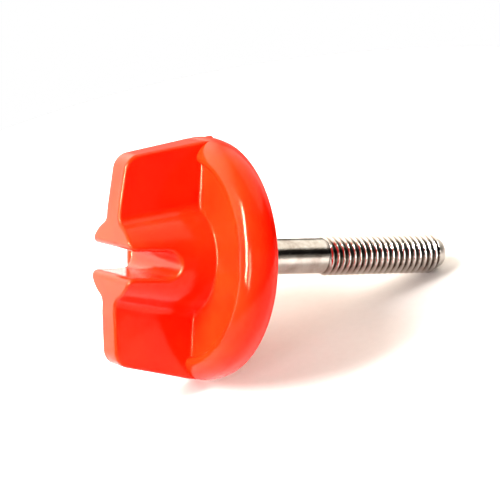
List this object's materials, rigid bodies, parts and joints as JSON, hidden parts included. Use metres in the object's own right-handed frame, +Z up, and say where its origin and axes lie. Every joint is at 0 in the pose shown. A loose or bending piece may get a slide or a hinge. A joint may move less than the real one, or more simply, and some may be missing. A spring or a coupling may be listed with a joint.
{
  "type": "wing knob screw",
  "caption": "Hand screw: a moulded wing knob with a round flange and a cross slot through its hub, over a steel bolt with a plain shank and a threaded end.",
  "frame": {"origin": "centre of the knob's seat face, on the bolt's axis", "axes": "+X along the bolt's axis towards its nose, +Z up in the plane of the two wings, +Y across the wings along the cross slot"},
  "size_m": [0.0581, 0.0352, 0.0352],
  "materials": {
    "knob_plastic": "gloss, moulded, orange-red",
    "bolt_steel": "bright zinc plated, rolled thread"
  },
  "bodies": {
    "root": {"knob": "knob_plastic", "bolt": "bolt_steel"}
  },
  "joints": []
}
